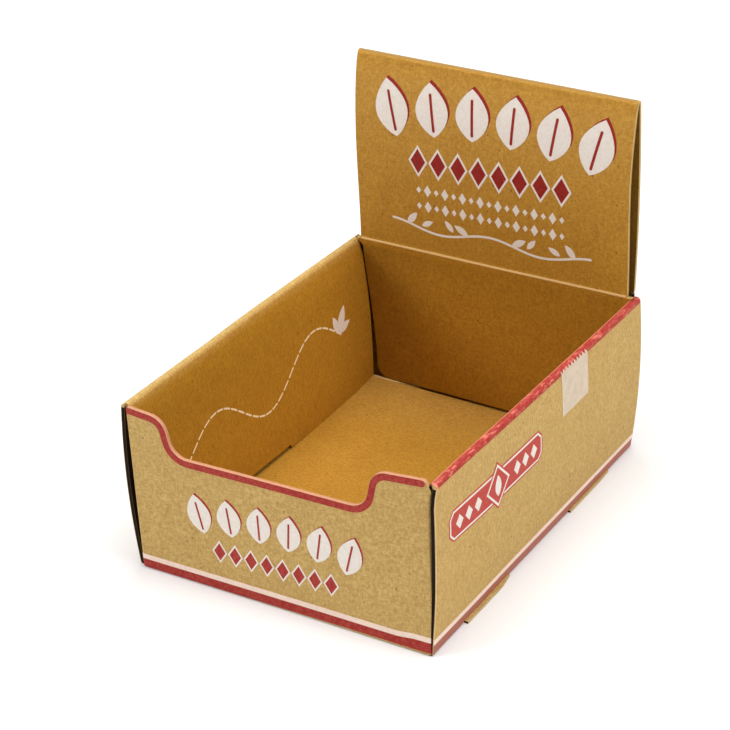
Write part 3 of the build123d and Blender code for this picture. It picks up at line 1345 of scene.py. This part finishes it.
def make_edge_lines():
    """Red line along the front wall's top edge, and red on the right-hand roll with a paler rim."""
    line = [point for point in top_line if point.x < edge_stop]
    line.append(Vector((edge_stop, line_height(edge_stop))))
    outline = band(line, edge_inset, edge_inset + edge_line)
    ahead = (line[-1] - line[-2]).normalized() * edge_line / 2
    aside = Vector((ahead.y, -ahead.x))
    tip = line[-1] + aside * (1 + 2 * edge_inset / edge_line)
    outline[len(line):len(line)] = half_round(tip, ahead, aside, 8)
    outline = [(max(x, -flat_half), z) for x, z in outline]
    print_fields("front_edge_line", front_face, [outline], red_ink)
    fold = net(spread(0, fold_red_share, 0.1), [0, 1], shape=fold_shape)
    print_ink("front_edge_fold", front_panel, fold, red_ink)
    first, last = wall_rows(1)
    rows = spread(first + roll_bare, last, step)
    roll_length = roll_to - roll_from
    over = roll_from + roll_length * roll_red_share
    beyond = roll_from + roll_length * roll_pale_share
    shares = spread(0.0, 1.0, 1 / 18)

    def red_shape(share, y):
        back = ease((y + half_depth) / half_depth)
        low = outer_stop(between(roll_red_front, roll_red_rear, back))
        return right_shape(between(low, over, share), y)

    print_ink("roll_red", right_wall, net(shares, rows, shape=red_shape), scuffed_ink)
    rubbed = net(shares, [first, first + roll_bare], shape=red_shape)
    print_ink("roll_front_rubbed", right_wall, rubbed, pale_ink)
    pale = net(spread(over, beyond, fine_step), rows, shape=right_shape)
    print_ink("roll_pale_line", right_wall, pale, pale_ink)


# Painted light: a painted highlight on the header's crease and along the right-hand wall's front edge,
# painted shade on the header's crest, and a pale strip on the floor of the box.
crease_width = 0.25
crest_share = 0.72           # how far the painted shade on the header's crest goes round its fold
# width of the painted highlight along the right-hand wall's front edge
front_highlight_width = 0.4
# outline of a pale strip on the floor of the box along the tuck flap's foot
floor_pale_strip = ((-50.4, 69.9), (-50.2, 71.4), (-38.0, 71.5), (-30.0, 71.5), (-38.0, 71.0))


def make_pale_and_shaded_strips():
    """Strips of painted highlight on the header's crease and the right-hand wall's front edge, of painted
    shade on the header's crest, and a pale strip on the floor of the box.
    """
    half = half_header - board / 4
    # Painted highlight along the crease between the header's front and the tuck flap.
    rows = [crease_from - crease_width, crease_from, flap_from, flap_from + crease_width]
    print_ink("header_crease", header_panel, net(spread(-half, half, step), rows), pale_strip_ink)
    # Painted shade on the header's top fold.
    top = spread(rear_run, rear_run + crest_share * (header_front_from - rear_run), fine_step)
    print_ink("header_fold", header_panel, net(spread(-half, half, step), top), painted_fold_shade)
    # Painted highlight along the right-hand wall's front edge.
    first = wall_rows(1)[0]
    columns = spread(outer_stop(side_stripe_high), outer_stop(roll_red_front), step)
    highlight = net(columns, [first, first + front_highlight_width], shape=right_shape)
    print_ink("wall_front_highlight", right_wall, highlight, edge_highlight_ink)
    print_ink("floor_pale_strip", base_panel, filled([floor_pale_strip]), pale_strip_ink, inside=True)


# Motifs on the header, the front, the right-hand wall and the inside of the left-hand wall.
bead_heights = (85.6, 79.4)
bead_count = 17
bead_spacing = 3.6
bead_sizes = ((2.0, 2.6), (3.0, 4.6))  # by turns
vine_height = 71.0
vine_swing = 1.7
vine_length = 41
vine_half = 40
vine_width = 0.9
sprig_height = 71.6
sprig_leaves = ((9, 62, 6.2), (15, 40, 5.2), (28, -62, 5.2), (34, -40, 6.2))     # place, turn, size
sprig_leaf_width = 0.42


def make_header_print():
    """Fan of leaves, lozenges, two rows of beads and a vine with leaves."""
    print_leaves("header", header_face, place=(1.0, 104.5), spacing=15.2, length=21.0)
    print_lozenges("header", header_face, place=(0.0, 96.6), spacing=8.2, size=(6.0, 9.4))
    beads = []
    for z in bead_heights:
        for k, spot in enumerate(spaced((0, z), bead_spacing, bead_count)):
            beads.append(moved(lozenge(*bead_sizes[k % 2]), spot))
    print_fields("header_beads", header_face, beads, white_ink)
    vine = [Vector((x, vine_height + vine_swing * cos(2 * pi * x / vine_length)))
            for x in spread(-vine_half, vine_half, 2)]
    print_fields("header_vine", header_face, [stroke(vine, vine_width)], white_ink)
    sprigs = []
    for sign in (-1, 1):
        for x, turn, size in sprig_leaves:
            spot = (sign * x, sprig_height)
            sprigs.append(moved(leaf(size, sprig_leaf_width * size), spot, -sign * turn))
    print_fields("header_sprigs", header_face, sprigs, white_ink, 1)


def make_front_print():
    """Fan of leaves over a row of lozenges."""
    print_leaves("front", front_face, place=(-2.0, 20.6), spacing=10.6, length=14.4)
    print_lozenges("front", front_face, place=(-2.0, 15.2), spacing=6.0, size=(4.4, 6.6))


plaque_middle = Vector((41.0 - half_depth, 41.2))
plaque_fields = ((62.0, 11.4, 2.6), (60.8, 10.2, 2.25), (59.4, 8.8, 1.85))       # width, height, cut
plaque_lozenges = (17.0, 15.4, 13.2)
plaque_inks = (fresh_ink, white_ink, fresh_ink)
plaque_leaf = (7.6, 4.0)
plaque_dots = (13.0, 18.8, 24.6)
plaque_dot = (4.4, 5.2)


def make_right_print():
    """Plaque with a lozenge, a leaf and dots."""
    outlines = {"plaque": [plaque(*field) for field in plaque_fields],
                "lozenge": [lozenge(size, size) for size in plaque_lozenges]}
    layer = 0
    for name, shapes in outlines.items():
        for k, (outline, ink) in enumerate(zip(shapes, plaque_inks)):
            field = [moved(outline, plaque_middle)]
            print_fields(f"right_{name}_{k}", right_face, field, ink, layer)
            layer += 1
    motifs = [moved(leaf(*plaque_leaf), plaque_middle - Vector((0, plaque_leaf[0] / 2)))]
    for sign in (-1, 1):
        for y in plaque_dots:
            motifs.append(moved(lozenge(*plaque_dot), plaque_middle + Vector((sign * y, 0))))
    print_fields("right_motifs", right_face, motifs, white_ink, layer)


dash_length = 2.8
dash_advance = 3.96
dash_width = 0.7
dash_rows = (19.0, 122.0)
sprout_row = 123.5
sprout_leaves = ((20, 8.0), (-28, 10.5), (-74, 8.0))     # turn, size
sprout_leaf_width = 0.4
dash_height = 26.0           # middle, swing, length and start of the dashed wave, and how it climbs
dash_swing = 8.0
dash_wave = 62.0
dash_start = 30.0
dash_climb = 0.05


def dash_spot(row):
    """Place of the dashed wave at a row that is counted from the front."""
    swing = dash_swing * sin(2 * pi * (row - dash_start) / dash_wave)
    return Vector((row - half_depth, dash_height + swing + dash_climb * row))


def make_inner_print():
    """Dashed wave that ends in a sprout of three leaves."""
    dashes = []
    row, last = dash_rows
    while row < last:
        line = [dash_spot(row + dash_length * share) for share in (0.0, 0.5, 1.0)]
        dashes.append(stroke(line, dash_width))
        row += dash_advance
    print_fields("inner_wave", inner_face, dashes, cream_ink)
    tip = dash_spot(sprout_row)
    leaves = [moved(leaf(size, sprout_leaf_width * size), tip, turn) for turn, size in sprout_leaves]
    print_fields("inner_sprig", inner_face, leaves, white_ink)


# Tape.
tape_heights = (43.7, 59.6)
tape_rows = (12.05, 31.05)
tape_skew = -0.4
tape_teeth = 19
tooth_depth = 0.6
tape_lift = 0.05
tape_film = 0.08
tape_step = 0.3


def make_tape():
    """Strip of frosted tape with a toothed upper edge on the right-hand wall."""
    low, high = tape_heights
    front, rear = tape_rows
    outline = [(rear, low), (front, low + tape_skew)]
    for k in range(tape_teeth + 1):
        outline.append((between(front, rear, k / tape_teeth), high - tooth_depth * (k % 2)))
    under = board / 2 + tape_lift
    mesh = bmesh.new()
    add_slab(mesh, *on_face(right_face, [outline], tape_step), under, under + tape_film, (SKIN, SKIN))
    finish_piece("tape", mesh, [frosted_film], "frosted_tape", "tape_strip")


make_stripes()
make_edge_lines()
make_pale_and_shaded_strips()
make_header_print()
make_front_print()
make_right_print()
make_inner_print()
make_tape()


# Stage, light and camera, in metres.
floor_reach = 3.0
floor_drop = 0.0001
floor_grey = (0.8, 0.8, 0.8, 1)
glow_reach = (0.3, 1.2)      # the floor glows more and more towards the white background
glow_strength = (0.09, 1.0)
white = (1, 1, 1, 1)
dome_strength = 0.2
lamp_aim = Vector((0, 0, 0.05))
lamps = (                    # name, place, size, power
    ("top", (0, 0.1, 1.4), 1.2, 20.5),
    ("front_left", (-0.9, -0.9, 0.8), 0.6, 9),
    ("right", (1.2, 0.0, 0.9), 0.7, 9),
)


def shown_rays(tree):
    """1 for the rays that show the background itself, and 0 for those that carry its light."""
    path = node(tree, "LightPath")
    shown = reckon(tree, "MAXIMUM", path.outputs["Is Camera Ray"], path.outputs["Is Glossy Ray"])
    return reckon(tree, "MAXIMUM", shown, path.outputs["Is Transmission Ray"])


def make_floor():
    """White floor that takes shadows and fades into the background."""
    data = bpy.data.meshes.new("floor")
    ends = ((-1, -1), (1, -1), (1, 1), (-1, 1))
    corners = [(x * floor_reach, y * floor_reach, -floor_drop) for x, y in ends]
    data.from_pydata(corners, [], [(0, 1, 2, 3)])
    floor = linked("floor", data)
    material = bpy.data.materials.new("floor")
    material.use_nodes = True
    tree = material.node_tree
    tree.nodes.remove(tree.nodes["Principled BSDF"])
    matte = node(tree, "BsdfDiffuse", {"Color": floor_grey})
    where = node(tree, "TexCoord").outputs["Object"]
    away = node(tree, "VectorMath", {0: where}, operation="LENGTH").outputs["Value"]
    strength = remap(tree, away, *glow_reach, *glow_strength)
    lift = reckon(tree, "MULTIPLY", shown_rays(tree), strength)
    glow = node(tree, "Emission", {"Color": white, "Strength": lift})
    both = node(tree, "AddShader", {0: matte.outputs[0], 1: glow.outputs[0]})
    tree.links.new(both.outputs[0], tree.nodes["Material Output"].inputs["Surface"])
    data.materials.append(material)


def make_world():
    """Dim white light from all round, before a white background."""
    world = bpy.data.worlds.new("studio")
    bpy.context.scene.world = world
    world.use_nodes = True
    tree = world.node_tree
    tree.nodes.clear()
    dome = node(tree, "Background", {"Color": white, "Strength": dome_strength})
    screen = node(tree, "Background", {"Color": white, "Strength": 1.0})
    inputs = {0: shown_rays(tree), 1: dome.outputs[0], 2: screen.outputs[0]}
    mixed = node(tree, "MixShader", inputs)
    output = node(tree, "OutputWorld", {"Surface": mixed.outputs[0]})
    output.is_active_output = True


def make_light(name, place, size, power):
    """Soft square lamp that looks at the middle of the box."""
    light = bpy.data.lights.new(name, "AREA")
    light.size = size
    light.energy = power
    lamp = linked(name, light)
    lamp.location = place
    lamp.rotation_euler = (lamp_aim - Vector(place)).to_track_quat("-Z", "Y").to_euler()


# The camera's place was fitted in its own directions, from the left-hand front corner of the foot.
image_width = 730
focal_pixels = 2411.8
azimuth = radians(30.965)
elevation = radians(28.133)
camera_tilt = radians(-1.593)
camera_place = Vector((0.07402, 0.06725, 0.80562))
fitted_corner = Vector((0.0545, 0.0747, 0.0))


def make_camera():
    """Camera where the photograph was taken, in the frame's own coordinates."""
    across = Vector((cos(azimuth), sin(azimuth), 0))
    back = Vector((sin(azimuth) * cos(elevation), -cos(azimuth) * cos(elevation), sin(elevation)))
    up = back.cross(across)
    right = cos(camera_tilt) * across + sin(camera_tilt) * up
    above = cos(camera_tilt) * up - sin(camera_tilt) * across
    camera = bpy.data.cameras.new("camera")
    camera.sensor_width = 36
    camera.lens = focal_pixels * camera.sensor_width / image_width
    camera.clip_start = 0.01
    holder = linked("camera", camera)
    matrix = Matrix((right, above, back)).transposed().to_4x4()
    x, y, z = camera_place
    matrix.translation = x * right + y * above + z * back - fitted_corner
    holder.matrix_world = matrix
    bpy.context.scene.camera = holder


make_floor()
make_world()
for lamp in lamps:
    make_light(*lamp)
make_camera()
bpy.context.scene.view_settings.view_transform = "Standard"
